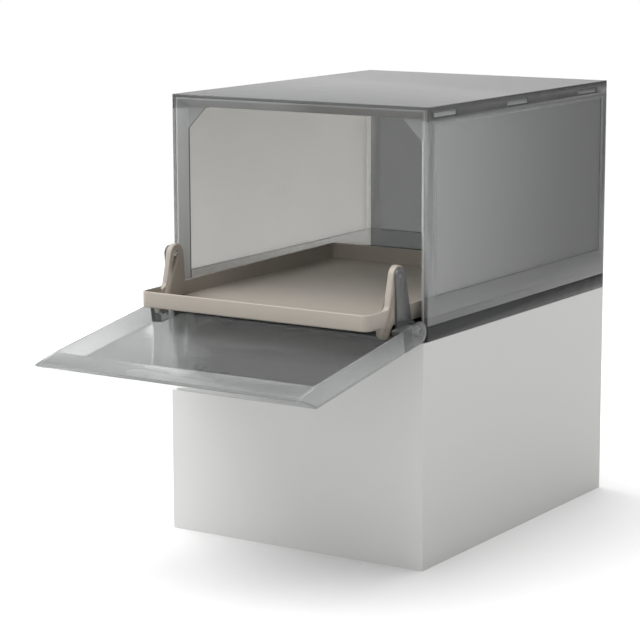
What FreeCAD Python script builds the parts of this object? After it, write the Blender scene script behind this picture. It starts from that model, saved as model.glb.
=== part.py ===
import FreeCAD
import Part

import math
import os
import re

import Sketcher

# Drop-front shoe box: a clear smoke-grey plastic shell with a door that folds down and draws a tray out.
#
# Units are millimetres. The origin is the middle of the base's underside, +X to the right, +Y to the back
# and +Z up. The box stands open: the door hangs down in front and the tray stands out over it.
# Pieces of the door are drawn in the door's own frame, whose origin is on the hinge line and in which the
# closed door stands up along Z. Pieces of the tray are drawn from the tray's front edge.

SIZES = {
    # the shell
    "width": 280,
    "depth": 354,
    "height": 210,
    "plate": 2.6,  # floor and top
    "sheet": 2.0,  # inner layer of the side and back panels
    "skirt": 1.8,  # rims of the base and top that close round the panels
    "base_skirt": 14,  # how high the base's rim stands
    "top_skirt": 13,  # how far the top's rim hangs down
    "upstand": 22,  # top of the rib inside the side panels
    "rib_gap": 0.4,  # between the rib and the frame of the mouth
    "notch_first": 125,  # front of each notch in the rib
    "notch_second": 325,
    "notch_length": 12,
    "notch_depth": 6,
    "field_low": 40,  # the frosted field of a side panel starts here
    "field_front": 15,
    "field_back": 12,
    "field_top": 4,  # below the top's rim
    "field_sink": 0.6,
    "clip_length": 40,
    "clip_height": 5,
    "clip_low": 10,  # bottom of a clip below the top
    "clip_first": 29,  # middle of each clip behind the front
    "clip_second": 165,
    "clip_third": 310,
    "clip_play": 0.3,
    # the mouth
    "mouth_inset": 12.1,  # from the outside of the box to the clear opening
    "mouth_drop": 11.6,  # from the top of the box to the clear opening
    "mouth_depth": 9,
    "mouth_rim": 1.6,
    "gusset": 20.5,
    "lip_height": 8,
    "lip_half": 112,
    "lip_ahead": 1,
    "lip_behind": 0.8,
    # the hinge
    "hinge_ahead": 11.8,
    "hinge_height": 10.6,
    "hinge_pin": 2.5,
    "hinge_head": 3.3,
    "hinge_head_depth": 1.2,
    "hinge_pin_floor": 0.6,  # wall left at the blind end of a hinge pin's hole
    "running": 0.06,
    "knuckle": 7.5,
    "knuckle_gap": 0.4,  # each side of a knuckle
    "knuckle_clear": 0.9,  # round a knuckle
    "web_reach": 5.2,
    "web_low": 0.6,
    "cheek": 10,
    "outer_cheek": 2.9,
    "inner_cheek": 3.3,
    "open_angle": 99.2,
    # the door
    "door_depth": 19.6,
    "door_skin": 2.2,
    "door_flat": 174.1,  # hinge line to the top of the flat face
    "door_rim": 199.3,  # hinge line to the rim
    "door_foot": 4,  # how far the flat face reaches below the hinge line
    "rim_back": 2.1,  # flat stretch of the rim
    "rim_level": 7.5,  # how far the rim stands behind the hinge line
    "rim_skin": 1.9,
    "door_lip": 172,  # hinge line to the edge of the lip inside the rim
    "lip_skin": 1.9,
    # the door's arms
    "arm_width": 12.5,
    "arm_reach": 28.7,
    "lever_length": 54.1,
    "lever_rise": 5.6,  # degrees above level when the door is shut
    "lever_thick": 2.5,
    "lever_low": 7.6,
    "lever_high": 19.8,
    "lever_head": 7.6,
    "lever_heel": 20.4,
    "slot_pin": 2.6,
    "slot_pin_head": 3.4,
    "slot_pin_cap": 1,
    # the tray
    "tray_reach": 76,  # how far it stands out in front when open
    "tray_travel": 88.6,
    "tray_length": 333,
    "tray_under": 19,
    "tray_wall": 2.4,
    "tray_front_rim": 15,
    "tray_side_rim": 18.5,
    "tray_corner": 8,
    "tray_edge": 1.5,  # round along the underside
    "tray_floor_round": 0.8,
    "ear_thick": 6,
    "ear_gap": 0.4,
    "ear_foot": 16.5,
    "ear_foot_rise": 8,
    "ear_sole": 2,
    "ear_flare": 7,
    "ear_waist": 5,
    "ear_waist_rise": 8,
    "ear_back_flare": 4,
    "ear_head": 10,
    "ear_head_back": 51.5,
    "ear_head_height": 62,
    "lobe": 7.8,
    "slot_play": 0.35,
    "rail_middle": 100,
    "rail_width": 8,
    "rail_gap": 0.3,
    "rail_front": 16,
    "rail_back": 10,
    # how far a cutter reaches past what it cuts
    "past": 1,
}
SLOT_STEPS = 24

doc = FreeCAD.newDocument("shoe_box")
sheet = doc.addObject("Spreadsheet::Sheet", "Sizes")
for row, (alias, size) in enumerate(SIZES.items(), 1):
    sheet.set(f"A{row}", alias)
    sheet.set(f"B{row}", str(size))
    sheet.setAlias(f"B{row}", alias)
doc.recompute()

WORD = re.compile(r"\b(" + "|".join(sorted(SIZES, key=len, reverse=True)) + r")\b")
NODES = []

# Places that several pieces share, as formulas of the sheet's sizes.
FRONT = "(-depth / 2)"
BACK = "(depth / 2)"
SIDE = "(width / 2)"
SHEET_OUT = "(width / 2 - skirt)"
SHEET_IN = "(width / 2 - skirt - sheet)"
OPENING = "(width / 2 - mouth_inset)"
OPENING_TOP = "(height - mouth_drop)"
HINGE_Y = "(-depth / 2 - hinge_ahead)"
ARM_IN = "(width / 2 - arm_width)"
CLEVIS_IN = "(width / 2 - arm_width + inner_cheek)"
CLEVIS_OUT = "(width / 2 - outer_cheek)"
LEVER_IN = "(width / 2 - arm_width - lever_thick)"
EAR_OUT = "(width / 2 - arm_width - lever_thick - ear_gap)"
EAR_IN = "(width / 2 - arm_width - lever_thick - ear_gap - ear_thick)"


def bound(formula):
    """The formula with each size's name turned into its cell."""
    return WORD.sub(r"Sizes.\1", str(formula))


def value(formula):
    """The formula's number now."""
    return float(sheet.evalExpression(bound(formula)))


def bind(item, **formulas):
    """Ties properties to formulas; two underscores in a name stand for a dot."""
    for name, formula in formulas.items():
        item.setExpression(name.replace("__", "."), bound(formula))
    return item


def place(item, x="0", y="0", z="0"):
    return bind(item, Placement__Base__x=x, Placement__Base__y=y, Placement__Base__z=z)


def node(item, label):
    """Marks a finished piece; its label names its file."""
    item.Label = label
    NODES.append(item)
    return item


def box(name, x, y, z):
    """A box between two formulas along each axis."""
    item = doc.addObject("Part::Box", name)
    bind(
        item,
        Length=f"({x[1]}) - ({x[0]})",
        Width=f"({y[1]}) - ({y[0]})",
        Height=f"({z[1]}) - ({z[0]})",
    )
    return place(item, x[0], y[0], z[0])


def rod(name, radius, x, y="0", z="0"):
    """A cylinder that lies along X between two formulas."""
    item = doc.addObject("Part::Cylinder", name)
    bind(item, Radius=radius, Height=f"({x[1]}) - ({x[0]})")
    item.Placement.Rotation = FreeCAD.Rotation(FreeCAD.Vector(0, 1, 0), 90)
    return place(item, x[0], y, z)


def fuse(name, *shapes):
    item = doc.addObject("Part::MultiFuse", name)
    item.Shapes = list(shapes)
    item.Refine = True
    return item


def cut(name, base, tool):
    item = doc.addObject("Part::Cut", name)
    item.Base = base
    item.Tool = tool
    item.Refine = True
    return item


def body(name):
    return doc.addObject("PartDesign::Body", name)


def sketch(owner, plane, outline, level="0", rounds=()):
    """A closed outline of (x, y) corners, or circles (x, y, radius), on one of the body's own planes."""
    item = owner.newObject("Sketcher::SketchObject", f"{owner.Name}_sketch")
    support = [part for part in owner.Origin.OriginFeatures if part.Role == f"{plane}_Plane"]
    item.AttachmentSupport = (support[0], [""])
    item.MapMode = "FlatFace"
    bind(item, AttachmentOffset__Base__z=level)
    corners = [FreeCAD.Vector(value(x), value(y), 0) for x, y in outline]
    for index, corner in enumerate(corners):
        item.addGeometry(Part.LineSegment(corner, corners[(index + 1) % len(corners)]))
    for index in range(len(corners)):
        item.addConstraint(Sketcher.Constraint("Coincident", index, 2, (index + 1) % len(corners), 1))
    for index, (x, y) in enumerate(outline):
        hold(item, index, 1, x, y)
    for x, y, radius in rounds:
        centre = FreeCAD.Vector(value(x), value(y), 0)
        index = item.addGeometry(Part.Circle(centre, FreeCAD.Vector(0, 0, 1), value(radius)))
        hold(item, index, 3, x, y)
        number = item.addConstraint(Sketcher.Constraint("Radius", index, value(radius)))
        item.setExpression(f"Constraints[{number}]", bound(radius))
    return item


def hold(item, index, point, x, y):
    """Ties a point of the sketch to formulas."""
    for kind, formula in (("DistanceX", x), ("DistanceY", y)):
        number = item.addConstraint(Sketcher.Constraint(kind, -1, 1, index, point, value(formula)))
        item.setExpression(f"Constraints[{number}]", bound(formula))


def pad(owner, profile, length):
    item = owner.newObject("PartDesign::Pad", f"{owner.Name}_pad")
    item.Profile = profile
    bind(item, Length=length)
    doc.recompute()
    return item


def pocket(owner, profile, length):
    """Cuts towards the side that the sketch's normal points to."""
    before = owner.Shape.Volume
    item = owner.newObject("PartDesign::Pocket", f"{owner.Name}_pocket")
    item.Profile = profile
    item.Reversed = True
    bind(item, Length=length)
    doc.recompute()
    if owner.Shape.Volume > before - 1:
        raise RuntimeError(f"{item.Name} cuts nothing")
    return item


def round_edges(owner, radius, chosen):
    """Rounds the edges of the body's last feature that the test picks."""
    feature = owner.Tip
    names = [f"Edge{number}" for number, edge in enumerate(feature.Shape.Edges, 1) if chosen(edge)]
    item = owner.newObject("PartDesign::Fillet", f"{owner.Name}_fillet")
    item.Base = (feature, names)
    bind(item, Radius=radius)
    doc.recompute()
    return item


def runs_along(edge, axis):
    """Whether a straight edge is parallel to the axis 0, 1 or 2."""
    if len(edge.Vertexes) < 2 or edge.Curve.TypeId != "Part::GeomLine":
        return False
    return abs(abs(edge.Curve.Direction[axis]) - 1) < 1e-6


def lies_at(edge, height):
    """Whether the whole edge is at one height."""
    return abs(edge.BoundBox.ZMin - height) < 1e-6 and abs(edge.BoundBox.ZMax - height) < 1e-6


def mirrored(name, source):
    """The same piece on the other side of the box."""
    item = doc.addObject("Part::Mirroring", name)
    item.Source = source
    item.Base = FreeCAD.Vector(0, 0, 0)
    item.Normal = FreeCAD.Vector(1, 0, 0)
    return item


def both_sides(piece, name):
    """Names a right-hand piece and adds its left-hand twin."""
    node(piece, f"right_{name}")
    node(mirrored(f"left_{name}_twin", piece), f"left_{name}")


def ride_door(item):
    """Turns a piece drawn on the shut door down to where the open door hangs."""
    item.Placement.Rotation = FreeCAD.Rotation(FreeCAD.Vector(1, 0, 0), value("open_angle"))
    bind(item, Placement__Rotation__Angle="open_angle")
    return place(item, "0", HINGE_Y, "hinge_height")


# --- The shell -------------------------------------------------------------------------------------


def base_panel():
    """The floor, with a rim outside the panels, a rib inside them, two rails and two hinge knuckles."""
    floor = box("floor", (f"-{SIDE}", SIDE), (f"{FRONT} - lip_ahead", BACK), ("0", "plate"))
    rim = box("rim_block", (f"-{SIDE}", SIDE), (FRONT, BACK), ("0", "base_skirt"))
    rim_core = box(
        "rim_core",
        (f"-{SHEET_OUT}", SHEET_OUT),
        (f"{FRONT} - past", f"{BACK} - skirt"),
        ("-past", "base_skirt + past"),
    )
    rib = box(
        "rib_block",
        (f"-{SHEET_IN}", SHEET_IN),
        (f"{FRONT} + mouth_depth + skirt + rib_gap", f"{BACK} - skirt - sheet"),
        ("0", "upstand"),
    )
    rib_core = box(
        "rib_core",
        (f"-{SHEET_IN} + skirt", f"{SHEET_IN} - skirt"),
        (FRONT, f"{BACK} - 2 * skirt - sheet"),
        ("-past", "upstand + past"),
    )
    notches = [
        box(
            f"rib_notch_{count}",
            (f"-{SIDE}", SIDE),
            (f"{FRONT} + {start}", f"{FRONT} + {start} + notch_length"),
            ("upstand - notch_depth", "upstand + past"),
        )
        for count, start in enumerate(("notch_first", "notch_second"))
    ]
    lip = box(
        "front_lip",
        ("-lip_half", "lip_half"),
        (f"{FRONT} - lip_ahead", f"{FRONT} + lip_behind"),
        ("0", "lip_height"),
    )
    rails = [
        box(
            f"rail_{name}",
            (f"{side} * rail_middle - rail_width / 2", f"{side} * rail_middle + rail_width / 2"),
            (f"{FRONT} + rail_front", f"{BACK} - rail_back"),
            ("0", "tray_under - rail_gap"),
        )
        for name, side in (("left", -1), ("right", 1))
    ]
    knuckle = body("knuckle")
    start = f"{CLEVIS_IN} + knuckle_gap"
    thickness = f"{CLEVIS_OUT} - {CLEVIS_IN} - 2 * knuckle_gap"
    web = sketch(
        knuckle,
        "YZ",
        [
            (FRONT, "0"),
            (FRONT, "hinge_height"),
            (HINGE_Y, "hinge_height + web_reach"),
            (f"{HINGE_Y} - web_reach", "hinge_height"),
            (HINGE_Y, "web_low"),
        ],
        start,
    )
    pad(knuckle, web, thickness)
    disc = sketch(knuckle, "YZ", [], start, [(HINGE_Y, "hinge_height", "knuckle")])
    pad(knuckle, disc, thickness)
    bore = sketch(knuckle, "YZ", [], f"{CLEVIS_IN}", [(HINGE_Y, "hinge_height", "hinge_pin + running")])
    pocket(knuckle, bore, f"{CLEVIS_OUT} - {CLEVIS_IN}")
    rim_ring = cut("rim_ring", rim, rim_core)
    rib_ring = cut("rib_ring", rib, fuse("rib_cuts", rib_core, *notches))
    knuckles = [knuckle, mirrored("knuckle_left", knuckle)]
    node(fuse("base_solid", floor, rim_ring, rib_ring, lip, *rails, *knuckles), "base_panel")


def clip_places():
    """Front and back of each clip."""
    for middle in ("clip_first", "clip_second", "clip_third"):
        yield f"{FRONT} + {middle} - clip_length / 2", f"{FRONT} + {middle} + clip_length / 2"


def top_panel():
    """The lid, with a rim that hangs outside the panels and a window for each clip."""
    block = box("top_block", (f"-{SIDE}", SIDE), (FRONT, BACK), ("height - top_skirt", "height"))
    core = box(
        "top_core",
        (f"-{SHEET_OUT}", SHEET_OUT),
        (f"{FRONT} - past", f"{BACK} - skirt"),
        ("height - top_skirt - past", "height - plate"),
    )
    windows = [
        box(
            f"clip_window_{count}",
            (f"-{SIDE} - past", f"{SIDE} + past"),
            ends,
            ("height - clip_low", "height - clip_low + clip_height"),
        )
        for count, ends in enumerate(clip_places())
    ]
    node(cut("top_solid", block, fuse("top_cuts", core, *windows)), "top_panel")


def side_panels():
    """A thin sheet inside the two rims, thickened flush with them in between, with a sunk field."""
    inner = box("side_sheet", (SHEET_IN, SHEET_OUT), (FRONT, f"{BACK} - skirt"), ("plate", "height - plate"))
    outer = box("side_field", (SHEET_OUT, SIDE), (FRONT, BACK), ("base_skirt", "height - top_skirt"))
    hooks = [
        box(
            f"clip_hook_{count}",
            (SHEET_OUT, f"{SIDE} - clip_play"),
            (f"{start} + clip_play", f"{end} - clip_play"),
            ("height - clip_low + clip_play", "height - clip_low + clip_height - clip_play"),
        )
        for count, (start, end) in enumerate(clip_places())
    ]
    sink = box(
        "side_sink",
        (f"{SIDE} - field_sink", f"{SIDE} + past"),
        (f"{FRONT} + field_front", f"{BACK} - field_back"),
        ("field_low", "height - top_skirt - field_top"),
    )
    both_sides(cut("side_solid", fuse("side_layers", inner, outer, *hooks), sink), "side_panel")


def back_panel():
    """Made like a side panel, and closed between the two of them."""
    inner = box(
        "back_sheet",
        (f"-{SHEET_IN}", SHEET_IN),
        (f"{BACK} - skirt - sheet", f"{BACK} - skirt"),
        ("plate", "height - plate"),
    )
    outer = box(
        "back_field",
        (f"-{SHEET_OUT}", SHEET_OUT),
        (f"{BACK} - skirt", BACK),
        ("base_skirt", "height - top_skirt"),
    )
    sink = box(
        "back_sink",
        (f"-{SIDE} + field_front", f"{SIDE} - field_front"),
        (f"{BACK} - field_sink", f"{BACK} + past"),
        ("field_low", "height - top_skirt - field_top"),
    )
    node(cut("back_solid", fuse("back_layers", inner, outer), sink), "back_panel")


def funnel(name, rim):
    """A solid that narrows from the front of the box to the clear opening, rim mm outside it."""
    item = doc.addObject("Part::Wedge", name)
    bind(
        item,
        Xmin=f"-{SHEET_IN} + mouth_rim - {rim}",
        Xmax=f"{SHEET_IN} - mouth_rim + {rim}",
        X2min=f"-{OPENING} - {rim}",
        X2max=f"{OPENING} + {rim}",
        Ymin="0",
        Ymax="mouth_depth",
        Zmin="plate",
        Z2min="plate",
        Zmax=f"height - plate - mouth_rim + {rim}",
        Z2max=f"{OPENING_TOP} + {rim}",
    )
    return place(item, "0", FRONT, "0")


def front_frame():
    """The mouth: a slanting face all round and a thin flange behind it, with a gusset in each top corner."""
    face = cut("mouth_face", funnel("mouth_outer", "mouth_rim"), funnel("mouth_inner", "0"))
    flange = body("mouth_flange")
    outline = [
        (f"-{SHEET_IN}", "plate"),
        (f"-{SHEET_IN}", "height - plate"),
        (SHEET_IN, "height - plate"),
        (SHEET_IN, "plate"),
        (OPENING, "plate"),
        (OPENING, f"{OPENING_TOP} - gusset"),
        (f"{OPENING} - gusset", OPENING_TOP),
        (f"-{OPENING} + gusset", OPENING_TOP),
        (f"-{OPENING}", f"{OPENING_TOP} - gusset"),
        (f"-{OPENING}", "plate"),
    ]
    pad(flange, sketch(flange, "XZ", outline, f"-({FRONT} + mouth_depth + skirt)"), "skirt")
    node(fuse("frame_solid", face, flange), "front_frame")


# --- The door --------------------------------------------------------------------------------------


def front_door():
    """A shallow pan whose top slants back to a rim with an inner lip; each arm has a corner cut away."""
    door = body("door")
    outside = sketch(
        door,
        "YZ",
        [
            ("-door_depth / 2", "-door_foot"),
            ("-door_depth / 2", "door_flat"),
            ("rim_level - rim_back", "door_rim"),
            ("rim_level", "door_rim"),
            ("door_depth / 2", "door_lip"),
            ("door_depth / 2", "0"),
            ("-door_depth / 2 + door_skin", "-door_foot"),
        ],
        f"-{SIDE}",
    )
    pad(door, outside, "width")
    hollow = sketch(
        door,
        "YZ",
        [
            ("-door_depth / 2 + door_skin", "-door_foot - past"),
            ("-door_depth / 2 + door_skin", "door_flat - rim_skin"),
            ("rim_level - lip_skin", "door_rim - 2 * rim_skin"),
            ("door_depth / 2 - lip_skin", "door_lip"),
            ("door_depth / 2 + past", "door_lip"),
            ("door_depth / 2 + past", "-door_foot - past"),
        ],
        f"-{SIDE} + door_skin",
    )
    pocket(door, hollow, "width - 2 * door_skin")
    for side in ("left", "right"):
        start = f"-{SIDE} - past" if side == "left" else ARM_IN
        corner = sketch(
            door,
            "YZ",
            [
                ("-door_depth", "-door_foot - past"),
                ("-door_depth", "arm_reach"),
                ("door_depth", "arm_reach"),
                ("door_depth", "-door_foot - past"),
            ],
            start,
        )
        pocket(door, corner, "arm_width + past")
    node(ride_door(door), "front_door")


def door_arms():
    """A corner block with a clevis for the knuckle, and the lever that pushes the tray."""
    arm = body("arm")
    block = [
        ("-door_depth / 2", "0"),
        ("-door_depth / 2", "arm_reach"),
        ("door_depth / 2", "arm_reach"),
        ("door_depth / 2", "0"),
    ]
    pad(arm, sketch(arm, "YZ", block, ARM_IN), "arm_width")
    pad(arm, sketch(arm, "YZ", [], ARM_IN, [("0", "0", "cheek")]), "arm_width")
    gap = [
        ("-door_depth", "-door_depth"),
        ("-door_depth", "knuckle + knuckle_clear"),
        ("door_depth", "knuckle + knuckle_clear"),
        ("door_depth", "-door_depth"),
    ]
    pocket(arm, sketch(arm, "YZ", gap, CLEVIS_IN), f"{CLEVIS_OUT} - {CLEVIS_IN}")
    head = ("lever_length * cos(lever_rise)", "lever_length * sin(lever_rise)")
    blade = [
        ("lever_low * sin(lever_rise)", "-lever_low * cos(lever_rise)"),
        (f"{head[0]} + lever_head * sin(lever_rise)", f"{head[1]} - lever_head * cos(lever_rise)"),
        (f"{head[0]} - lever_head * sin(lever_rise)", f"{head[1]} + lever_head * cos(lever_rise)"),
        ("-lever_high * sin(lever_rise)", "lever_high * cos(lever_rise)"),
        ("-door_depth / 2 + door_skin", "lever_heel"),
        ("-door_depth / 2 + door_skin", "0"),
    ]
    pad(arm, sketch(arm, "YZ", blade, LEVER_IN), "lever_thick")
    pad(arm, sketch(arm, "YZ", [], LEVER_IN, [(*head, "lever_head")]), "lever_thick")
    pad(arm, sketch(arm, "YZ", [], LEVER_IN, [("0", "0", "lever_low")]), "lever_thick")
    pin_end = f"{ARM_IN} + hinge_pin_floor"
    bores = [
        (pin_end, ("0", "0", "hinge_pin"), "arm_width"),
        (f"{SIDE} - hinge_head_depth", ("0", "0", "hinge_head"), "hinge_head_depth + past"),
        (f"{LEVER_IN} - past", (*head, "slot_pin"), "lever_thick + 2 * past"),
        (f"{ARM_IN} - slot_pin_cap", (*head, "slot_pin_head"), "slot_pin_cap + past"),
    ]
    for start, circle, reach in bores:
        pocket(arm, sketch(arm, "YZ", [], start, [circle]), reach)
    both_sides(ride_door(arm), "door_arm")


def hinge_pins():
    """Headed pins, pressed into the arms and turning in the base's knuckles."""
    shank_ends = (f"{ARM_IN} + hinge_pin_floor", SIDE)
    head_ends = (f"{SIDE} - hinge_head_depth", SIDE)
    shank = rod("hinge_shank", "hinge_pin", shank_ends, HINGE_Y, "hinge_height")
    head = rod("hinge_pin_head", "hinge_head", head_ends, HINGE_Y, "hinge_height")
    both_sides(fuse("hinge_pin_solid", shank, head), "hinge_pin")


def slot_pins():
    """Headed pins, pressed into the levers and sliding in the tray's slots."""
    y = f"{HINGE_Y} + lever_length * cos(open_angle + lever_rise)"
    z = "hinge_height + lever_length * sin(open_angle + lever_rise)"
    shank = rod("slot_shank", "slot_pin", (f"{EAR_IN} + ear_gap", ARM_IN), y, z)
    head = rod("slot_pin_disc", "slot_pin_head", (f"{ARM_IN} - slot_pin_cap", ARM_IN), y, z)
    both_sides(fuse("slot_pin_solid", shank, head), "slot_pin")


# --- The tray --------------------------------------------------------------------------------------


def slot_path(turn):
    """Where a lever's pin sits on the tray, turn degrees after the door leaves its shut position.

    The tray moves the same distance for each degree, so the slot's curve makes up the difference
    between the pin's circle and that even movement. Distances are from the tray's front edge.
    """
    angle = math.radians(value("lever_rise") + turn)
    left = (value("open_angle") - turn) / value("open_angle")
    back = value("tray_reach - hinge_ahead") + value("lever_length") * math.cos(angle)
    height = value("hinge_height") + value("lever_length") * math.sin(angle)
    return FreeCAD.Vector(0, back - value("tray_travel") * left, height)


def slot_tool():
    """The pin's path, widened by its play: a disc for each few degrees, joined by straight stretches."""
    radius = value("slot_pin + slot_play")
    points = [slot_path(value("open_angle") * step / SLOT_STEPS) for step in range(SLOT_STEPS + 1)]
    along = FreeCAD.Vector(1, 0, 0)
    faces = []
    for point in points:
        circle = Part.Circle(point, along, radius)
        faces.append(Part.Face(Part.Wire(circle.toShape())))
    for first, second in zip(points, points[1:]):
        across = along.cross(second - first).normalize() * radius
        ring = [first + across, second + across, second - across, first - across, first + across]
        faces.append(Part.Face(Part.makePolygon(ring)))
    outline = faces[0].multiFuse(faces[1:]).removeSplitter()
    item = doc.addObject("Part::Feature", "slot_cutter")
    item.Shape = outline.extrude(along * value("ear_thick + 2 * past"))
    return place(item, f"{EAR_IN} - past", f"{FRONT} - tray_reach", "0")


def shoe_tray():
    """A shallow tray with a tall slotted ear at each side of its front, all one moulding."""
    tray = body("tray")
    rectangle = [
        (f"-{EAR_OUT}", "0"),
        (EAR_OUT, "0"),
        (EAR_OUT, "tray_length"),
        (f"-{EAR_OUT}", "tray_length"),
    ]
    pad(tray, sketch(tray, "XY", rectangle, "tray_under"), "tray_side_rim")
    round_edges(tray, "tray_corner", lambda edge: runs_along(edge, 2))
    inner = f"{EAR_OUT} - tray_wall"
    inside = [
        (f"-({inner})", "tray_wall"),
        (inner, "tray_wall"),
        (inner, "tray_length - tray_wall"),
        (f"-({inner})", "tray_length - tray_wall"),
    ]
    pocket(tray, sketch(tray, "XY", inside, "tray_under + tray_wall"), "tray_side_rim")
    inner_x = value(inner)
    round_edges(
        tray,
        "tray_corner - tray_wall",
        lambda edge: runs_along(edge, 2) and abs(abs(edge.CenterOfMass.x) - inner_x) < 0.01,
    )
    low = [(f"-{SIDE}", "-past"), (SIDE, "-past"), (SIDE, "ear_head_back"), (f"-{SIDE}", "ear_head_back")]
    pocket(tray, sketch(tray, "XY", low, "tray_under + tray_front_rim"), "tray_side_rim")
    under = value("tray_under")
    round_edges(tray, "tray_edge", lambda edge: lies_at(edge, under))
    floor = value("tray_under + tray_wall")
    round_edges(tray, "tray_floor_round", lambda edge: lies_at(edge, floor))
    front_foot = "ear_head_back - ear_head"
    ear = [
        (f"{front_foot} - ear_foot", "tray_under - ear_sole"),
        (f"{front_foot} - ear_foot", "tray_under + ear_foot_rise"),
        (f"{front_foot} - ear_flare", "tray_under + tray_front_rim"),
        (f"{front_foot} - ear_waist", "tray_under + tray_front_rim + ear_waist_rise"),
        (front_foot, "ear_head_height"),
        ("ear_head_back + ear_head", "ear_head_height"),
        ("ear_head_back + ear_head + ear_back_flare", "tray_under - ear_sole"),
    ]
    lobe_back = "tray_reach - hinge_ahead + lever_length * cos(lever_rise) - tray_travel"
    lobe_height = "hinge_height + lever_length * sin(lever_rise)"
    for start in (EAR_IN, f"-{EAR_OUT}"):
        pad(tray, sketch(tray, "YZ", ear, start), "ear_thick")
        head = ("ear_head_back", "ear_head_height", "ear_head")
        pad(tray, sketch(tray, "YZ", [], start, [head]), "ear_thick")
        pad(tray, sketch(tray, "YZ", [], start, [(lobe_back, lobe_height, "lobe")]), "ear_thick")
    place(tray, "0", f"{FRONT} - tray_reach", "0")
    tool = slot_tool()
    slots = fuse("slots", tool, mirrored("slot_cutter_left", tool))
    node(cut("tray_solid", tray, slots), "shoe_tray")


def check_and_export():
    """Stops on anything that failed, then writes one file for each piece."""
    doc.recompute()
    for item in doc.Objects:
        if "Invalid" in item.State or "Error" in item.State:
            raise RuntimeError(f"{item.Label} is {item.State}")
    for item in NODES:
        if item.Shape.isNull() or not item.Shape.isValid() or not item.Shape.Solids:
            raise RuntimeError(f"{item.Label} has no valid solid")
    os.makedirs("parts", exist_ok=True)
    for item in NODES:
        item.Shape.exportStep(f"parts/{item.Label}.step")
        extent = item.Shape.BoundBox
        size = f"{extent.XLength:.1f} x {extent.YLength:.1f} x {extent.ZLength:.1f}"
        print(f"{item.Label}: {len(item.Shape.Solids)} solid, {size}")


base_panel()
top_panel()
side_panels()
back_panel()
front_frame()
front_door()
door_arms()
hinge_pins()
slot_pins()
shoe_tray()
check_and_export()
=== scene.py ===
# Looks of a drop-front shoe box in smoke-grey clear plastic, with a taupe tray.
#
# Lengths are in metres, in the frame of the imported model: the middle of the base's underside is the
# origin, +X is right, +Y is back and +Z is up. The box stands open.

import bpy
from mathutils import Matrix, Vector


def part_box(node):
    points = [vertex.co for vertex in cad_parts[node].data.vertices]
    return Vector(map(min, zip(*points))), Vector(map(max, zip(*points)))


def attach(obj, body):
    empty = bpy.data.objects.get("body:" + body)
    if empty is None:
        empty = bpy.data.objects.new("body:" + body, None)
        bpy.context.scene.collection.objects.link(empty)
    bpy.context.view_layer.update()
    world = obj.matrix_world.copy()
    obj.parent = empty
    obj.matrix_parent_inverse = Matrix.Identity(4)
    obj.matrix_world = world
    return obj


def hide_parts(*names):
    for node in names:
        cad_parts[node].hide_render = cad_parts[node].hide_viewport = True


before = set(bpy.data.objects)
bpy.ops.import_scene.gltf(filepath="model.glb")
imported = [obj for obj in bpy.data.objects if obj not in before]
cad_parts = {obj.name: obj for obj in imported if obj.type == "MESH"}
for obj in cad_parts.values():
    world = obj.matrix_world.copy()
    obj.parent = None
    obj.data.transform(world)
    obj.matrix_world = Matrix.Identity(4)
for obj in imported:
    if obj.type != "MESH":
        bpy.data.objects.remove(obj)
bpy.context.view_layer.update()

import math

import bmesh
import bpy
import numpy as np
from bpy.props import FloatProperty, FloatVectorProperty, PointerProperty
from bpy.types import Operator, Panel, PropertyGroup
from mathutils import Euler, Vector

bl_info = {
    "name": "Drop-front shoe box",
    "version": (1, 0, 0),
    "blender": (4, 5, 0),
    "location": "View3D > Sidebar > Shoe Box",
    "description": "Surfaces, finishes and stage for a drop-front shoe box",
    "category": "Object",
}

LOW, HIGH = 0, 1
X, Y, Z = 0, 1, 2

# Refractive indices. The lid's and the base's are set for weaker reflections.
PLASTIC_IOR, LID_IOR, BASE_IOR = 1.47, 1.42, 1.2


# --- Sizes and colours -----------------------------------------------------------------------------


def length(name, text, metres):
    return FloatProperty(name=name, description=text, default=metres, unit="LENGTH", precision=4)


def number(name, text, value):
    return FloatProperty(name=name, description=text, default=value)


def colour(name, text, red_green_blue):
    return FloatVectorProperty(name=name, description=text, default=red_green_blue, size=3, subtype="COLOR")


class FinishSettings(PropertyGroup):
    """Colours and surface of the plastics."""

    smoke: colour("Smoke", "Clear grey plastic of the shell and door", (0.43, 0.44, 0.437))
    # Painted light: a warmer copy of the smoke tint, for the left panel lit through from outside.
    smoke_painted_backlight: colour(
        "Warm smoke", "Clear grey plastic with light from outside behind it", (0.445, 0.438, 0.42)
    )
    taupe: colour("Taupe", "Solid plastic of the tray", (0.405, 0.365, 0.318))
    clearness: number("Clearness", "Share of light that passes into the smoke plastic", 0.75)
    gloss_roughness: number("Gloss roughness", "Roughness of the polished borders", 0.2)
    door_roughness: number("Door roughness", "Roughness of the door", 0.1)
    frost_roughness: number("Frost roughness", "Roughness of the frosted fields", 0.5)
    grain: length("Grain", "Width of one speck of the frosting", 0.0006)
    open_angle: number("Open angle", "Degrees that the door has opened", 99.2)
    lip: length("Lip", "Hinge line to the edge of the door's lip", 0.172)
    door_width: length("Door width", "Width of the door", 0.28)
    door_wall: length("Door wall", "Thickness of the door's side walls", 0.0022)


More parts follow.
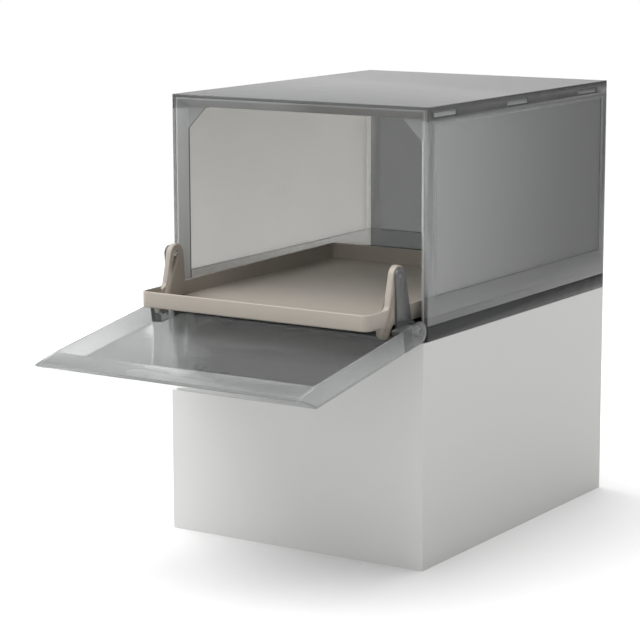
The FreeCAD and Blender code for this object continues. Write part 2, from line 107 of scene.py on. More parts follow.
class TraySettings(PropertyGroup):
    """Sizes of the tray."""

    under: length("Underside", "Height of the tray's underside", 0.019)
    wall: length("Wall", "Thickness of the tray", 0.0024)
    edge: length("Edge", "Round along the underside", 0.0015)
    floor_round: length("Floor round", "Hollow round where the floor meets the sides", 0.0008)
    corner: length("Corner", "Round of the corners in plan", 0.008)
    front_rim: length("Front rim", "Height of the front", 0.015)
    side_rim: length("Side rim", "Height of the sides", 0.0185)
    ear_thick: length("Ear thickness", "Thickness of an ear", 0.006)
    ear_back: length("Ear back", "Middle of an ear's head behind the front", 0.0515)
    ear_height: length("Ear height", "Middle of an ear's head above the base", 0.062)
    ear_proud: length("Ear proud", "How far an ear stands out from the side of the tray", 0.0002)
    ear_edge: length("Ear edge", "Round along an ear's edge", 0.0011)
    head: length("Head", "Radius of an ear's head", 0.010)
    slant: length("Slant", "How far an ear's foot stands in front of its head's front", 0.0128)
    flare: length("Flare", "How far an ear widens to the back at its foot", 0.004)
    foot: length("Foot", "Hollow round where an ear meets the rim", 0.007)
    lobe: length("Lobe", "Radius of the lobe under an ear", 0.0078)
    slot: length("Slot", "Half width of a slot", 0.00295)
    slot_clear: length("Slot clearance", "How much wider a slot is through the side of the tray", 0.0002)
    slot_lip: length("Slot lip", "Width of the raised lip round a slot", 0.0016)
    slot_lip_height: length("Slot lip height", "How far the lip stands out", 0.0006)
    rib_reach: length("Rib reach", "How far the ribs under the floor reach to each side", 0.094)
    rib_pitch: length("Rib pitch", "Distance between ribs, measured along the tray", 0.056)
    rib_width: length("Rib width", "Width of a rib", 0.0022)
    rib_depth: length("Rib depth", "How far a rib stands out from the underside", 0.0014)
    lever: length("Lever", "Hinge line to the lever's pin", 0.0541)
    lever_rise: number("Lever rise", "Degrees above level, door shut", 5.6)
    open_angle: number("Open angle", "Degrees that the door opens", 99.2)
    travel: length("Travel", "How far the tray slides", 0.0886)
    pin_start: length("Pin start", "Hinge line behind the front of the open tray", 0.0642)
    hinge_height: length("Hinge height", "Hinge line above the base", 0.0106)


class StageSettings(PropertyGroup):
    """Floor, plinth, lights and camera."""

    plinth_drop: length("Plinth height", "The box stands on a plinth this high", 0.2107)
    camera_azimuth: number("Azimuth", "Where the camera stands round the box", 32.95)
    camera_pitch: number("Pitch", "How far the camera looks down", 10.39)
    camera_roll: number("Roll", "How far the camera leans", 0.18)
    camera_x: length("Camera X", "Place of the camera to the right", 1.1671)
    camera_y: length("Camera Y", "Place of the camera to the back", -1.9363)
    camera_z: length("Camera Z", "Height of the camera", 0.3938)
    lens: number("Lens", "Focal length in millimetres", 130.34)


# --- Shader maths ----------------------------------------------------------------------------------


class Value:
    """A number that varies over a surface; arithmetic on it adds Math nodes."""

    def __init__(self, shader, socket):
        self.shader = shader
        self.socket = socket

    def math(self, operation, *inputs):
        settings = {"operation": operation}
        return self.shader.node("ShaderNodeMath", settings, dict(enumerate(inputs))).out(0)

    def __add__(self, other):
        return self.math("ADD", self, other)

    def __radd__(self, other):
        return self.math("ADD", other, self)

    def __sub__(self, other):
        return self.math("SUBTRACT", self, other)

    def __rsub__(self, other):
        return self.math("SUBTRACT", other, self)

    def __mul__(self, other):
        return self.math("MULTIPLY", self, other)

    def __rmul__(self, other):
        return self.math("MULTIPLY", other, self)

    def between(self, low, high, soft):
        """1 inside low to high and 0 outside, over a soft edge."""
        rise = self.shader.ramp(self, low - soft, low + soft)
        fall = self.shader.ramp(self, high - soft, high + soft)
        return rise * (1 - fall)


class Made:
    """A node that was added, whose outputs come out wrapped."""

    def __init__(self, shader, item):
        self.shader = shader
        self.item = item

    def out(self, name):
        return Value(self.shader, self.item.outputs[name])


class Shader:
    """A material whose nodes are written as expressions."""

    def __init__(self, name):
        self.material = bpy.data.materials.new(name)
        self.material.use_nodes = True
        self.tree = self.material.node_tree
        self.tree.nodes.clear()

    def node(self, kind, settings=None, inputs=None):
        """Adds a node, its settings first, then the values or links of its sockets."""
        item = self.tree.nodes.new(kind)
        for name, setting in (settings or {}).items():
            setattr(item, name, setting)
        for name, given in (inputs or {}).items():
            if isinstance(given, Value):
                self.tree.links.new(given.socket, item.inputs[name])
            else:
                item.inputs[name].default_value = given
        return Made(self, item)

    def ramp(self, value, start, end):
        """0 below start, 1 above end and smooth between."""
        settings = {"interpolation_type": "SMOOTHSTEP"}
        inputs = {"Value": value, "From Min": start, "From Max": end}
        return self.node("ShaderNodeMapRange", settings, inputs).out("Result")

    def place(self):
        """Object coordinates as a vector and its three parts."""
        vector = self.node("ShaderNodeTexCoord").out("Object")
        parts = self.node("ShaderNodeSeparateXYZ", None, {"Vector": vector})
        return vector, parts.out("X"), parts.out("Y"), parts.out("Z")

    def noise(self, vector, speck, detail=2.0):
        """Noise from 0 to 1 whose features are about speck metres wide."""
        inputs = {"Vector": vector, "Scale": 1.0 / speck, "Detail": detail}
        return self.node("ShaderNodeTexNoise", None, inputs).out("Fac")

    def shade(self, tint, factor):
        """The colour tint made darker or lighter by a varying factor."""
        grey = self.node("ShaderNodeCombineXYZ", None, {"X": factor, "Y": factor, "Z": factor}).out("Vector")
        settings = {"operation": "MULTIPLY"}
        return self.node("ShaderNodeVectorMath", settings, {0: tuple(tint), 1: grey}).out("Vector")

    def bump(self, height, depth):
        inputs = {"Height": height, "Distance": depth, "Strength": 1.0}
        return self.node("ShaderNodeBump", None, inputs).out("Normal")

    def finish(self, **sockets):
        """Ends in a Principled shader; names use underscores for spaces."""
        inputs = {name.replace("_", " "): given for name, given in sockets.items()}
        shader = self.node("ShaderNodeBsdfPrincipled", None, inputs)
        self.node("ShaderNodeOutputMaterial", None, {"Surface": shader.out("BSDF")})
        return self.material


# --- Finishes --------------------------------------------------------------------------------------


def clear_grey(shader, tint, share, roughness, clearness=None, ripple_depth=0.0004, ior=PLASTIC_IOR):
    """Ends a shader as clear grey plastic, slightly cloudy, with fine scuffs and a faint ripple."""
    look = bpy.context.scene.shoe_box_finish
    vector, *_ = shader.place()
    cloud = shader.noise(vector, 0.05)
    scuff = shader.noise(vector, 0.004, 4.0)
    ripple = shader.noise(vector, 0.02)
    return shader.finish(
        Base_Color=shader.shade(tint, (0.94 + 0.12 * cloud) * share),
        Roughness=roughness + 0.08 * (scuff - 0.5),
        Transmission_Weight=look.clearness if clearness is None else clearness,
        IOR=ior,
        Normal=shader.bump(ripple, ripple_depth),
    )


def smoke_plastic(name, share, roughness):
    """Clear grey plastic, all of one tint."""
    look = bpy.context.scene.shoe_box_finish
    return clear_grey(Shader(name), look.smoke, share, roughness)


def top_plastic(name):
    """The lid's plastic: darker on its hanging rim, where two walls overlap, with painted shade that darkens
    it towards the back right.
    """
    look = bpy.context.scene.shoe_box_finish
    low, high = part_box("top_panel")
    shader = Shader(name)
    _, x, y, z = shader.place()
    plate = shader.ramp(z, high[Z] - 0.0016, high[Z] - 0.0002)
    behind = shader.ramp(y, low[Y], low[Y] + 0.001)
    # Painted shade: the rim darkens towards the back, and the lid darkens towards the back and the right.
    rim = 0.72 - 0.34 * behind - 0.2 * shader.ramp(y, low[Y], high[Y])
    lid = 0.92 - 0.34 * shader.ramp(y, low[Y], high[Y]) - 0.4 * shader.ramp(x, low[X], high[X])
    return clear_grey(shader, look.smoke, rim + plate * (lid - rim), look.gloss_roughness, ior=LID_IOR)


def base_plastic(name):
    """The base's plastic: a clear floor inside a darker rim, with painted shade that darkens the rim towards
    the back.
    """
    look = bpy.context.scene.shoe_box_finish
    low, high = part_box("base_panel")
    shader = Shader(name)
    _, x, y, _ = shader.place()
    wall, soft = 0.0019, 0.0001
    inside = x.between(low[X] + wall, high[X] - wall, soft)
    floor = inside * (1 - shader.ramp(y, high[Y] - wall - soft, high[Y] - wall + soft))
    # Painted shade: the rim darkens towards the back.
    rim = 0.36 - 0.26 * shader.ramp(y, low[Y] + 0.05, high[Y])
    share = rim + floor * (0.75 - rim)
    return clear_grey(shader, look.smoke, share, look.gloss_roughness, ior=BASE_IOR)


def mouth_plastic(name):
    """The mouth's plastic: painted light on the slanting face, strongest on the left, painted shade on its
    top part, and darker on the flange and the gussets behind it.
    """
    look = bpy.context.scene.shoe_box_finish
    low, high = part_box("front_frame")
    shader = Shader(name)
    _, x, y, z = shader.place()
    flange = shader.ramp(y, low[Y] + 0.0086, low[Y] + 0.0092)
    # Painted light on the slanting face, brighter on the left, and painted shade on the face's top part.
    sides = 1.55 - 0.35 * shader.ramp(x, -0.02, 0.02)
    face = sides * (1 - 0.4 * shader.ramp(z, high[Z] - 0.012, high[Z] - 0.009))
    share = face + flange * (0.72 - face)
    return clear_grey(shader, look.smoke, share, look.gloss_roughness, clearness=0.45)


def door_plastic(name):
    """The door's plastic: painted light on its side walls, growing towards the free edge, and on its lip,
    with a fine dark line along the lip's edge.
    """
    look = bpy.context.scene.shoe_box_finish
    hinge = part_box("right_hinge_pin")
    angle = math.radians(look.open_angle)
    shader = Shader(name)
    _, x, y, z = shader.place()
    behind = y - (hinge[LOW][Y] + hinge[HIGH][Y]) / 2
    above = z - (hinge[LOW][Z] + hinge[HIGH][Z]) / 2
    reach = behind * -math.sin(angle) + above * math.cos(angle)
    lip = shader.ramp(reach, look.lip - 0.0004, look.lip + 0.0004)
    line = reach.between(look.lip - 0.0008, look.lip + 0.0002, 0.0003)
    half = look.door_width / 2 - look.door_wall
    walls = 1 - x.between(-half, half, 0.0003)
    # Painted light: the side walls and the lip are lighter, the walls more so towards the free edge.
    wall_painted_light = 0.1 + 0.7 * shader.ramp(reach, 0.02, 0.15)
    share = 1 + 0.3 * lip * (1 - walls) + wall_painted_light * walls - 0.35 * line * (1 - walls)
    return clear_grey(shader, look.smoke, share, look.door_roughness, ripple_depth=0.00025)


def frosted_panel(name, node, sunk_axis, painted_light_shares, tint):
    """Clear grey plastic with a frosted field inside a polished border.

    The tint changes from the first share at one end of the panel to the second at the other, as painted light
    and shade. Below the field the panel is darker. On a side panel the rib behind it shows as a fine line
    that dips at the rib's two notches, with short upright ticks under it, and the back edge of the mouth as
    another.
    """
    look = bpy.context.scene.shoe_box_finish
    low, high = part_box(node)
    shader = Shader(name)
    vector, x, y, z = shader.place()
    if sunk_axis == X:
        across, start, end = y, low[Y] + 0.015, high[Y] - 0.012
    else:
        across, start, end = x, low[X] + 0.013, high[X] - 0.013
    field = across.between(start, end, 0.0004) * z.between(0.040, 0.193, 0.0004)
    cloud = shader.noise(vector, 0.06)
    grain = shader.noise(vector, look.grain, 1.0)
    change = look.frost_roughness - look.gloss_roughness
    # Painted light and shade: the tint changes from one end of the panel to the other.
    share = painted_light_shares[0] + (painted_light_shares[1] - painted_light_shares[0]) * shader.ramp(across, start - 0.05, end + 0.02)
    low_wall = 1 - shader.ramp(z, 0.0396, 0.0404)
    marks = 0.22 * low_wall + 0.3 * z.between(0.0392, 0.0402, 0.0003)
    if sunk_axis == X:
        front = low[Y]
        dips = [across.between(front + middle, front + middle, 0.009) for middle in (0.131, 0.331)]
        rib = z + 0.022 * (dips[0] + dips[1])
        ticks = [
            across.between(front + behind, front + behind + 0.0007, 0.0003) for behind in (0.065, 0.2, 0.27)
        ]
        marks += 0.4 * rib.between(0.0208, 0.0216, 0.0003) + 0.14 * (1 - shader.ramp(rib, 0.0206, 0.0216))
        marks += 0.22 * (1 - shader.ramp(z, 0.0145, 0.0205))
        marks += 0.3 * (ticks[0] + ticks[1] + ticks[2]) * (1 - shader.ramp(z, 0.0208, 0.0214))
        marks += 0.4 * across.between(front + 0.0080, front + 0.0092, 0.0003) * shader.ramp(z, 0.1775, 0.1785)
        border = 0.12 * across.between(front + 0.0136, front + 0.0148, 0.0004)
        marks += border * shader.ramp(z, 0.0396, 0.0404)
    return shader.finish(
        Base_Color=shader.shade(tint, (0.92 + 0.1 * cloud + 0.1 * field) * share * (1 - marks)),
        Roughness=look.gloss_roughness + field * change + 0.06 * (cloud - 0.5),
        Transmission_Weight=look.clearness,
        IOR=PLASTIC_IOR,
        Normal=shader.bump(field * grain, 0.00012),
    )


def tray_plastic(name):
    """Satin taupe plastic with a fine spark-eroded grain and faint flow marks."""
    look = bpy.context.scene.shoe_box_finish
    shader = Shader(name)
    vector, *_ = shader.place()
    flow = shader.noise(vector, 0.08, 3.0)
    grain = shader.noise(vector, 0.0005, 1.0)
    return shader.finish(
        Base_Color=shader.shade(look.taupe, 0.95 + 0.1 * flow),
        Roughness=0.42 + 0.1 * (flow - 0.5),
        IOR=PLASTIC_IOR,
        Normal=shader.bump(grain, 0.00006),
    )


# --- Surfaces --------------------------------------------------------------------------------------


def added(name, data):
    """A new object in the scene."""
    item = bpy.data.objects.new(name, data)
    bpy.context.scene.collection.objects.link(item)
    return item


def mesh_piece(name, parts, material, smooth_degrees=40):
    """One object from several (vertices, faces) parts, with its seams merged and its faces pointing out."""
    mesh = bpy.data.meshes.new(name)
    starts = np.cumsum([0] + [len(points) for points, _ in parts[:-1]])
    points = np.concatenate([points for points, _ in parts])
    faces = [[corner + start for corner in face] for (_, part), start in zip(parts, starts) for face in part]
    mesh.from_pydata(points.tolist(), [], faces)
    shape = bmesh.new()
    shape.from_mesh(mesh)
    bmesh.ops.remove_doubles(shape, verts=shape.verts, dist=1e-6)
    bmesh.ops.recalc_face_normals(shape, faces=shape.faces)
    shape.to_mesh(mesh)
    shape.free()
    mesh.shade_smooth()
    mesh.set_sharp_from_angle(angle=math.radians(smooth_degrees))
    mesh.materials.append(material)
    return added(name, mesh)


def grid_faces(rows, columns, wrap_rows=False, wrap_columns=True):
    """Quads between neighbouring points of a grid, joined round where a direction wraps."""
    row = np.arange(rows if wrap_rows else rows - 1)[:, None]
    column = np.arange(columns if wrap_columns else columns - 1)[None, :]
    next_row, next_column = (row + 1) % rows, (column + 1) % columns
    corners = [row * columns + column, row * columns + next_column]
    corners += [next_row * columns + next_column, next_row * columns + column]
    return np.stack(corners, axis=-1).reshape(-1, 4).tolist()


def rounded_rectangle(half_x, half_y, radius, steps=8):
    """Points round a rectangle whose corners are quarter circles."""
    turn = np.linspace(0, np.pi / 2, steps)
    centres = np.array([(1, 1), (-1, 1), (-1, -1), (1, -1)]) * (half_x - radius, half_y - radius)
    angles = turn[None, :] + np.arange(4)[:, None] * np.pi / 2
    arcs = radius * np.stack([np.cos(angles), np.sin(angles)], axis=-1)
    return (centres[:, None, :] + arcs).reshape(-1, 2)


def arc(centre, radius, start, end, steps):
    """Points on a circle's arc, from start to end degrees."""
    angle = np.radians(np.linspace(start, end, steps))
    return np.array(centre) + radius * np.stack([np.cos(angle), np.sin(angle)], axis=-1)


def refined(node, body, material, edge):
    """A copy of a CAD node as one welded skin, with a small round along its sharp edges."""
    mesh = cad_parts[node].data.copy()
    shape = bmesh.new()
    shape.from_mesh(mesh)
    bmesh.ops.remove_doubles(shape, verts=shape.verts, dist=1e-6)
    bmesh.ops.dissolve_limit(shape, angle_limit=math.radians(1), verts=shape.verts, edges=shape.edges)
    shape.to_mesh(mesh)
    shape.free()
    mesh.materials.clear()
    mesh.materials.append(material)
    mesh.shade_smooth()
    item = added(node + "_finished", mesh)
    bevel = item.modifiers.new("Edges", "BEVEL")
    bevel.width = edge
    bevel.segments = 3
    bevel.limit_method = "ANGLE"
    bevel.angle_limit = math.radians(35)
    bevel.harden_normals = True
    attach(item, body)
    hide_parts(node)
    return item


# --- Pieces ----------------------------------------------------------------------------------------


class SHOEBOX_OT_shell(Operator):
    """Makes the fixed panels of the box"""

    bl_idname = "shoe_box.shell"
    bl_label = "Shell"

    def execute(self, context):
        look = context.scene.shoe_box_finish
        refined("top_panel", "shell", top_plastic("Smoke top"), 0.0007)
        refined("base_panel", "shell", base_plastic("Smoke base"), 0.0005)
        refined("front_frame", "shell", mouth_plastic("Smoke mouth"), 0.0004)
        # Painted light: the left panel's tint grows lighter towards the back.
        left = frosted_panel("Frosted left", "left_side_panel", X, (0.95, 1.35), look.smoke_painted_backlight)
        refined("left_side_panel", "shell", left, 0.0003)
        # Painted shade: the right panel's tint grows darker towards the back.
        right = frosted_panel("Frosted right", "right_side_panel", X, (1.24, 0.54), look.smoke)
        refined("right_side_panel", "shell", right, 0.0003)
        # Painted shade: the back panel's tint is darker all over.
        back = frosted_panel("Frosted back", "back_panel", Y, (0.55, 0.5), look.smoke)
        refined("back_panel", "shell", back, 0.0003)
        return {"FINISHED"}


class SHOEBOX_OT_door(Operator):
    """Makes the door, its arms and their pins"""

    bl_idname = "shoe_box.door"
    bl_label = "Door"

    def execute(self, context):
        refined("front_door", "door", door_plastic("Smoke door"), 0.0006)
        arms = smoke_plastic("Smoke arms", 0.66, roughness=0.25)
        pins = smoke_plastic("Smoke pins", 0.7, roughness=0.25)
        for side in ("left", "right"):
            refined(f"{side}_door_arm", "door", arms, 0.0005)
            refined(f"{side}_hinge_pin", "door", pins, 0.0007)
            refined(f"{side}_slot_pin", "door", pins, 0.0006)
        return {"FINISHED"}


def tray_pan(look, low, high):
    """The tray's pan: rounded rectangles stacked along a section.

    The section runs outwards under the floor, up the side, over the rim and back in across the floor.

    Each point of the section is an inset from the outline and a height. Heights above the floor stretch
    so that the rim is lower across the front and rises smoothly behind the ears.
    """
    wall, edge, inner_edge = look.wall, look.edge, look.floor_round
    front_height, side_height = look.front_rim, look.side_rim
    under = arc((edge, edge), edge, 270, 180, 7)
    rim = arc((wall / 2, side_height - wall / 2), wall / 2, 180, 0, 9)
    inside = arc((wall + inner_edge, wall + inner_edge), inner_edge, 180, 270, 5)
    section = np.concatenate([[(0.09, 0)], under, rim, inside, [(0.09, wall)]])
    half_x, half_y = (high[X] - low[X]) / 2, (high[Y] - low[Y]) / 2
    rings = []
    for inset, height in section:
        outline = rounded_rectangle(half_x - inset, half_y - inset, max(look.corner - inset, 0.0008))
        rings.append(np.column_stack([outline, np.full(len(outline), height)]))
    points = np.stack(rings)
    behind = points[..., Y] + half_y
    rise = np.clip((behind - look.ear_back + 0.008) / 0.016, 0, 1)
    rim_height = front_height + (side_height - front_height) * rise * rise * (3 - 2 * rise)
    stretch = (rim_height - edge) / (side_height - edge)
    above = points[..., Z] > edge
    points[..., Z] = np.where(above, edge + (points[..., Z] - edge) * stretch, points[..., Z])
    points += ((low[X] + high[X]) / 2, (low[Y] + high[Y]) / 2, look.under)
    rows, columns = points.shape[:2]
    faces = grid_faces(rows, columns)
    faces.append(list(range(columns)))
    faces.append([(rows - 1) * columns + column for column in range(columns)])
    return points.reshape(-1, 3), faces


def slot_ends(look):
    """Where the lever's pin stands with the door shut and open, in (behind the tray's front, height).

    The pin is on a circle round the hinge line, and the tray has moved by its whole travel in between.
    """
    angle = np.radians([look.lever_rise, look.lever_rise + look.open_angle])
    behind = look.pin_start + look.lever * np.cos(angle) - (look.travel, 0)
    height = look.hinge_height + look.lever * np.sin(angle)
    return np.stack([behind, height], axis=-1)


def ear_outline(look):
    """The ear's edge in (behind, height): lobe, concave foot at the rim, round head and straight back."""
    head = (look.ear_back, look.ear_height)
    lobe = slot_ends(look)[0]
    rim = look.under + look.front_rim
    front = head[0] - look.head - look.slant
    points = [arc(lobe, look.lobe, 330, 180, 16)]
    points.append([
        (lobe[0] - look.lobe, look.under + 0.003),
        (front, look.under + 0.006),
        (front, rim - 0.002),
    ])
    points.append(arc((front, rim + look.foot - 0.001), look.foot, 272, 335, 12))
    points.append(arc(head, look.head, 165, 6, 24))
    points.append([(head[0] + look.head + look.flare, look.under + 0.004)])
    points.append([(lobe[0] + look.lobe + 0.004, look.under)])
    return np.concatenate(points)


def outline_reach(outline, start, way):
    """How far each start point is from the closed outline along its way."""
    run = np.roll(outline, -1, axis=0) - outline
    gap = outline[None] - start[:, None]
    cross = way[:, None, 0] * run[None, :, 1] - way[:, None, 1] * run[None, :, 0]
    cross = np.where(np.abs(cross) < 1e-12, 1e-12, cross)
    along = (gap[..., 0] * run[None, :, 1] - gap[..., 1] * run[None, :, 0]) / cross
    across = (gap[..., 0] * way[:, None, 1] - gap[..., 1] * way[:, None, 0]) / cross
    hit = (along > 0) & (across >= -1e-9) & (across <= 1 + 1e-9)
    return np.where(hit, along, np.inf).min(axis=1)


def upright(flat, x, front):
    """Points in (behind the tray's front, height) stood up at x."""
    return np.column_stack([np.full(len(flat), x), front + flat[:, 0], flat[:, 1]])


def tray_ear(look, low, high, side):
    """One slotted ear: a closed tube of rings between the slot's edge and the ear's outline.

    A ring is the slot's middle line moved out along its normals, round both ends, by some distance, at
    some x. The rings go up the slot's wall, over its raised lip, across the inner face, round the outer
    edge and back over the outer face.
    """
    bottom, top = slot_ends(look)
    share = np.linspace(0, 1, 40)[:, None]
    line = bottom + (top - bottom) * share
    run = (top - bottom) / np.linalg.norm(top - bottom)
    left_angle = math.atan2(run[0], -run[1])
    turn = np.linspace(0, np.pi, 16)[1:-1]
    angle = np.concatenate([
        np.full(len(line), left_angle),
        left_angle - turn,
        np.full(len(line), left_angle - np.pi),
        left_angle - np.pi - turn,
    ])
    way = np.stack([np.cos(angle), np.sin(angle)], axis=-1)
    centre = np.concatenate([
        line,
        np.repeat(line[-1:], len(turn), axis=0),
        line[::-1],
        np.repeat(line[:1], len(turn), axis=0),
    ])
    reach = outline_reach(ear_outline(look), centre, way)
    slot, lip, edge, raised = look.slot, look.slot + look.slot_lip, look.ear_edge, look.slot_lip_height
    inner, outer = high[X] - look.ear_thick, high[X] + look.ear_proud
    around = np.radians(np.linspace(0, 90, 4))
    rings = [
        (slot, inner - raised / 3),
        (slot + raised, inner - raised),
        (lip - raised, inner - raised),
        (lip, inner),
    ]
    loops = [(np.full(len(way), distance), x) for distance, x in rings]
    loops += [(reach - edge * (1 - np.sin(a)), inner + edge * (1 - np.cos(a))) for a in around]
    loops += [(reach - edge * (1 - np.cos(a)), outer - edge * (1 - np.sin(a))) for a in around]
    loops.append((np.full(len(way), slot), outer))
    sheets = []
    for distance, x in loops:
        sheets.append(upright(centre + way * distance[:, None], side * x, low[Y]))
    points = np.stack(sheets)
    rows, columns = points.shape[:2]
    return points.reshape(-1, 3), grid_faces(rows, columns, wrap_rows=True)


def slot_cutter(look, low, high, side):
    """A slot's volume through the side of the tray, as a prism a little wider than the slot."""
    bottom, top = slot_ends(look)
    run = top - bottom
    angle = math.degrees(math.atan2(run[1], run[0]))
    half = look.slot + look.slot_clear
    outline = np.concatenate([
        arc(top, half, angle - 90, angle + 90, 12),
        arc(bottom, half, angle + 90, angle + 270, 12),
    ])
    sheets = []
    for x in (high[X] - look.ear_thick, high[X] + 2 * look.slot_clear):
        sheets.append(upright(outline, side * x, low[Y]))
    columns = len(outline)
    faces = grid_faces(2, columns) + [list(range(columns)), list(range(columns, 2 * columns))]
    return np.concatenate(sheets), faces


def taken_out(part, cutters):
    """The part less the cutters, all given as (vertices, faces)."""
    items = []
    for points, faces in (part, *cutters):
        mesh = bpy.data.meshes.new("blank")
        mesh.from_pydata(points.tolist(), [], faces)
        shape = bmesh.new()
        shape.from_mesh(mesh)
        bmesh.ops.recalc_face_normals(shape, faces=shape.faces)
        shape.to_mesh(mesh)
        shape.free()
        items.append(added("blank", mesh))
    for cutter in items[1:]:
        opening = items[0].modifiers.new("Slot", "BOOLEAN")
        opening.operation = "DIFFERENCE"
        opening.solver = "EXACT"
        opening.object = cutter
    made = items[0].evaluated_get(bpy.context.evaluated_depsgraph_get()).to_mesh()
    points = np.empty(3 * len(made.vertices))
    made.vertices.foreach_get("co", points)
    faces = [list(face.vertices) for face in made.polygons]
    for item in items:
        bpy.data.meshes.remove(item.data)
    return points.reshape(-1, 3), faces


def tray_ribs(look, low, high):
    """A diamond lattice of low ribs under the tray's floor, between the rails.

    Each rib is a bar along (1, 1) or (1, -1), from where that line enters a rectangle to where it leaves
    it: a line crosses the rectangle while both |x| and |y - middle| stay inside its half sizes.
    """
    middle = (low[Y] + high[Y]) / 2
    half_x, half_y = look.rib_reach, (high[Y] - low[Y]) / 2 - 0.012
    shift = np.arange(-14, 15) * look.rib_pitch
    verts, faces = [], []
    for way in (1, -1):
        start = np.maximum(-half_x, np.minimum(way * (-half_y - shift), way * (half_y - shift)))
        end = np.minimum(half_x, np.maximum(way * (-half_y - shift), way * (half_y - shift)))
        keep = end - start > 0.004
        for offset, first, last in zip(shift[keep], start[keep], end[keep]):
            ends = np.array([(first, way * first + offset), (last, way * last + offset)])
            side = np.array((way, -1)) / math.sqrt(2) * look.rib_width / 2
            ring = np.concatenate([ends - side, (ends + side)[::-1]])
            for height in (look.under - look.rib_depth, look.under + look.wall / 2):
                verts.append(np.column_stack([ring[:, 0], ring[:, 1] + middle, np.full(4, height)]))
            base = 8 * (len(verts) // 2 - 1)
            faces += [[base + corner for corner in (0, 1, 2, 3)], [base + corner for corner in (4, 5, 6, 7)]]
            faces += [[base + a, base + (a + 1) % 4, base + 4 + (a + 1) % 4, base + 4 + a] for a in range(4)]
    return np.concatenate(verts), faces


class SHOEBOX_OT_tray(Operator):
    """Makes the tray with its slotted ears"""

    bl_idname = "shoe_box.tray"
    bl_label = "Tray"

    def execute(self, context):
        look = context.scene.shoe_box_tray
        low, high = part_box("shoe_tray")
        slots = [slot_cutter(look, low, high, side) for side in (-1, 1)]
        parts = [taken_out(tray_pan(look, low, high), slots), tray_ribs(look, low, high)]
        parts += [tray_ear(look, low, high, side) for side in (-1, 1)]
        tray = mesh_piece("tray_moulding", parts, tray_plastic("Taupe tray"))
        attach(tray, "tray")
        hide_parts("shoe_tray")
        return {"FINISHED"}


def block(name, low, high):
    """A box between two corners."""
    corners = [(x, y, z) for z in (low[Z], high[Z]) for y in (low[Y], high[Y]) for x in (low[X], high[X])]
    faces = [(0, 2, 3, 1), (4, 5, 7, 6), (0, 1, 5, 4), (2, 6, 7, 3), (0, 4, 6, 2), (1, 3, 7, 5)]
    mesh = bpy.data.meshes.new(name)
    mesh.from_pydata(corners, [], faces)
    return added(name, mesh)


def area_light(name, place, aim, size, watts):
    """A soft rectangular light at place that faces aim."""
    lamp = bpy.data.lights.new(name, "AREA")
    lamp.shape = "RECTANGLE"
    lamp.size, lamp.size_y = size
    lamp.energy = watts
    item = added(name, lamp)
    item.location = place
    item.rotation_euler = (Vector(aim) - Vector(place)).to_track_quat("-Z", "Y").to_euler()
    item.visible_glossy = False


def sun_light(name, place, spread, strength):
    """A broad light from the direction of place, as even over the floor as over the box."""
    lamp = bpy.data.lights.new(name, "SUN")
    lamp.energy = strength
    lamp.angle = math.radians(spread)
    item = added(name, lamp)
    item.location = place
    item.rotation_euler = Vector(place).to_track_quat("Z", "Y").to_euler()


def studio_world(scene, seen, cast, cast_right):
    """A white surround that is dimmer to the right.

    seen is how bright it looks to the camera; cast and cast_right are how much light its two sides give.
    """
    world = bpy.data.worlds.new("studio")
    scene.world = world
    world.use_nodes = True
    tree = world.node_tree
    tree.nodes.clear()
    path = tree.nodes.new("ShaderNodeLightPath")
    mix = tree.nodes.new("ShaderNodeMixShader")
    out = tree.nodes.new("ShaderNodeOutputWorld")
    tree.links.new(path.outputs["Is Camera Ray"], mix.inputs[0])
    way = tree.nodes.new("ShaderNodeTexCoord")
    parts = tree.nodes.new("ShaderNodeSeparateXYZ")
    side = tree.nodes.new("ShaderNodeMapRange")
    tree.links.new(way.outputs["Generated"], parts.inputs[0])
    tree.links.new(parts.outputs["X"], side.inputs["Value"])
    side.inputs["From Min"].default_value = 0.1
    side.inputs["From Max"].default_value = 0.8
    side.inputs["To Min"].default_value = cast
    side.inputs["To Max"].default_value = cast_right
    for socket in (1, 2):
        surround = tree.nodes.new("ShaderNodeBackground")
        surround.inputs["Color"].default_value = (1, 1, 1, 1)
        surround.inputs["Strength"].default_value = seen
        if socket == 1:
            tree.links.new(side.outputs["Result"], surround.inputs["Strength"])
        tree.links.new(surround.outputs[0], mix.inputs[socket])
    tree.links.new(mix.outputs[0], out.inputs["Surface"])


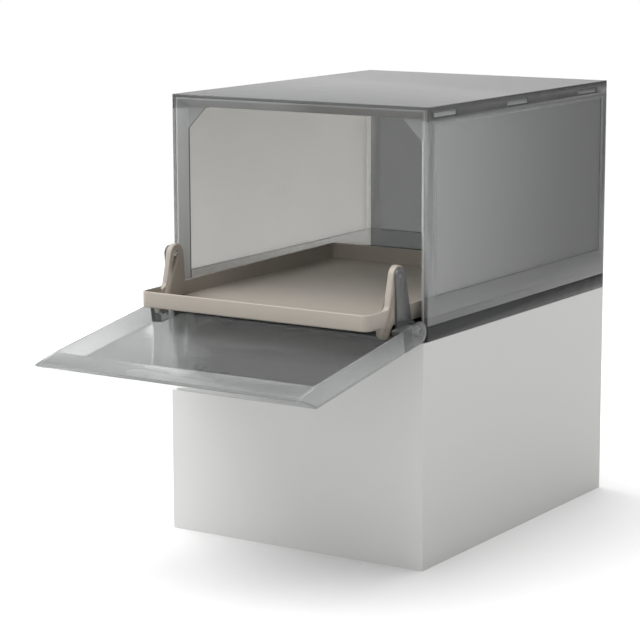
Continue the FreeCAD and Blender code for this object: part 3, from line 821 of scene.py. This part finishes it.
class SHOEBOX_OT_stage(Operator):
    """Sets up the floor, the plinth, the lights and the camera"""

    bl_idname = "shoe_box.stage"
    bl_label = "Stage"

    def execute(self, context):
        scene = context.scene
        stage = scene.shoe_box_stage
        drop = stage.plinth_drop
        base_low, base_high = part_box("base_panel")
        corner = (base_low[X], base_low[Y] + 0.012, -drop)
        plinth = block("plinth", corner, (base_high[X], base_high[Y], -0.0002))
        floor = block("floor", (-6, -6, -drop - 0.02), (6, 6, -drop))
        shader = Shader("Pale floor")
        floor.data.materials.append(shader.finish(Base_Color=(0.85, 0.85, 0.85, 1), Roughness=0.6))
        shader = Shader("Pale plinth")
        plinth.data.materials.append(shader.finish(Base_Color=(0.62, 0.62, 0.61, 1), Roughness=0.6))

        sun_light("key", (-0.55, -0.75, 1.5), spread=50, strength=2.0)
        middle = (0, 0, 0.08)
        area_light("glow_left", (-1.5, 0.4, 0.25), middle, size=(1.2, 1.2), watts=24)
        area_light("glow_top", (0.1, 0.5, 1.5), middle, size=(1.6, 1.2), watts=12)
        studio_world(scene, seen=1.0, cast=0.8, cast_right=0.35)

        lens = bpy.data.cameras.new("camera")
        lens.lens = stage.lens
        lens.sensor_width = 36
        camera = added("camera", lens)
        camera.location = (stage.camera_x, stage.camera_y, stage.camera_z)
        tilt = math.radians(90 - stage.camera_pitch)
        turn = math.radians(stage.camera_azimuth)
        camera.rotation_euler = Euler((tilt, math.radians(stage.camera_roll), turn), "XYZ")
        scene.camera = camera
        scene.view_settings.view_transform = "Standard"
        return {"FINISHED"}


OPERATORS = (SHOEBOX_OT_stage, SHOEBOX_OT_shell, SHOEBOX_OT_door, SHOEBOX_OT_tray)


class SHOEBOX_PT_pieces(Panel):
    """Lists the operators of the shoe box"""

    bl_label = "Shoe Box"
    bl_idname = "SHOEBOX_PT_pieces"
    bl_space_type = "VIEW_3D"
    bl_region_type = "UI"
    bl_category = "Shoe Box"

    def draw(self, context):
        for operator in OPERATORS:
            self.layout.operator(operator.bl_idname)


CLASSES = (FinishSettings, TraySettings, StageSettings, *OPERATORS, SHOEBOX_PT_pieces)


def register():
    for item in CLASSES:
        bpy.utils.register_class(item)
    bpy.types.Scene.shoe_box_finish = PointerProperty(type=FinishSettings)
    bpy.types.Scene.shoe_box_tray = PointerProperty(type=TraySettings)
    bpy.types.Scene.shoe_box_stage = PointerProperty(type=StageSettings)


def unregister():
    del bpy.types.Scene.shoe_box_stage
    del bpy.types.Scene.shoe_box_tray
    del bpy.types.Scene.shoe_box_finish
    for item in reversed(CLASSES):
        bpy.utils.unregister_class(item)


def main():
    register()
    bpy.ops.shoe_box.stage()
    bpy.ops.shoe_box.shell()
    bpy.ops.shoe_box.door()
    bpy.ops.shoe_box.tray()


if __name__ == "__main__":
    main()
